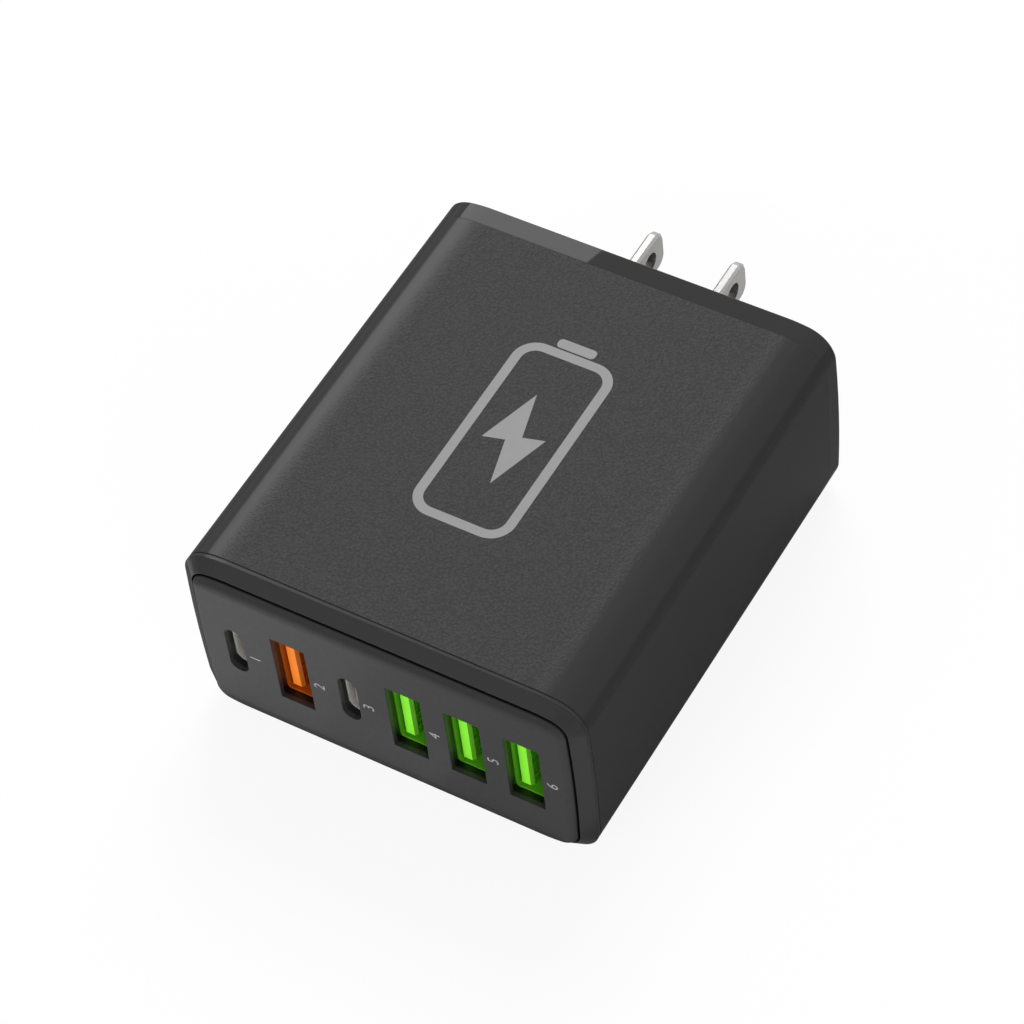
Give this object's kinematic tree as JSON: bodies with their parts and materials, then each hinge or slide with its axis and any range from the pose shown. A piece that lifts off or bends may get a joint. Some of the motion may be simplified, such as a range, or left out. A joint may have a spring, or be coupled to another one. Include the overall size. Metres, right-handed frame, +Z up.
{
  "type": "multi-port usb charger",
  "caption": "Flat box-shaped wall charger with a row of upright USB ports in its front panel and two flat blades at the back.",
  "frame": {"origin": "middle of the large face that the charger lies on, under the middle of its case", "axes": "+X across the port row to the right seen from the ports, +Y from the ports to the wall, +Z up from the rest face"},
  "size_m": [0.0586, 0.0846, 0.0307],
  "materials": {
    "grained_plastic": "fine leather-like grain, dark grey",
    "satin_plastic": "smooth satin, dark grey",
    "gloss_plastic": "smooth and glossy, dark grey",
    "blade_metal": "nickel plate, lightly brushed along its length",
    "shell_metal": "tinned sheet",
    "contact_metal": "plated contact strip",
    "orange_plastic": "moulded orange",
    "green_plastic": "moulded green",
    "grey_plastic": "moulded pale grey",
    "black_plastic": "moulded black",
    "board": "green circuit board",
    "ferrite": "dark sintered ferrite",
    "winding": "enamelled copper wire",
    "can_metal": "drawn aluminium",
    "chip_plastic": "moulded chip body",
    "thermal_pad": "soft silicone pad",
    "insulating_sheet": "thin clear film",
    "fuse_ceramic": "ceramic tube with metal caps",
    "capacitor_case": "yellow film capacitor case",
    "capacitor_coat": "blue dipped disc"
  },
  "bodies": {
    "root": {"blade_terminal_left": "contact_metal", "blade_terminal_right": "contact_metal", "bridge_rectifier": "chip_plastic", "bridging_capacitor": "capacitor_coat", "buck_inductor_1": "black_plastic", "buck_inductor_2": "black_plastic", "bulk_capacitor_1": "can_metal", "bulk_capacitor_2": "can_metal", "choke_core": "ferrite", "choke_winding": "winding", "controller_chip": "chip_plastic", "fuse": "fuse_ceramic", "heat_spreader": "can_metal", "housing_sleeve": "grained_plastic", "insulating_sheet": "insulating_sheet", "main_board": "board", "mains_capacitor": "capacitor_case", "optocoupler": "chip_plastic", "output_capacitor_1": "can_metal", "output_capacitor_2": "can_metal", "output_capacitor_3": "can_metal", "pin_strip": "black_plastic", "plug_blade_left": "blade_metal", "plug_blade_right": "blade_metal", "port_board": "board", "port_panel": "satin_plastic", "power_switch": "chip_plastic", "rear_cover": "gloss_plastic", "synchronous_rectifier": "chip_plastic", "thermal_pad": "thermal_pad", "transformer_bobbin": "black_plastic", "transformer_core_lower": "ferrite", "transformer_core_upper": "ferrite", "transformer_winding": "winding", "usb_a_contacts_1": "contact_metal", "usb_a_contacts_2": "contact_metal", "usb_a_contacts_3": "contact_metal", "usb_a_contacts_4": "contact_metal", "usb_a_insulator_1": "orange_plastic", "usb_a_insulator_2": "green_plastic", "usb_a_insulator_3": "green_plastic", "usb_a_insulator_4": "green_plastic", "usb_a_shell_1": "shell_metal", "usb_a_shell_2": "shell_metal", "usb_a_shell_3": "shell_metal", "usb_a_shell_4": "shell_metal", "usb_c_contacts_1": "contact_metal", "usb_c_contacts_2": "contact_metal", "usb_c_insulator_1": "grey_plastic", "usb_c_insulator_2": "grey_plastic", "usb_c_shell_1": "shell_metal", "usb_c_shell_2": "shell_metal"}
  },
  "joints": []
}
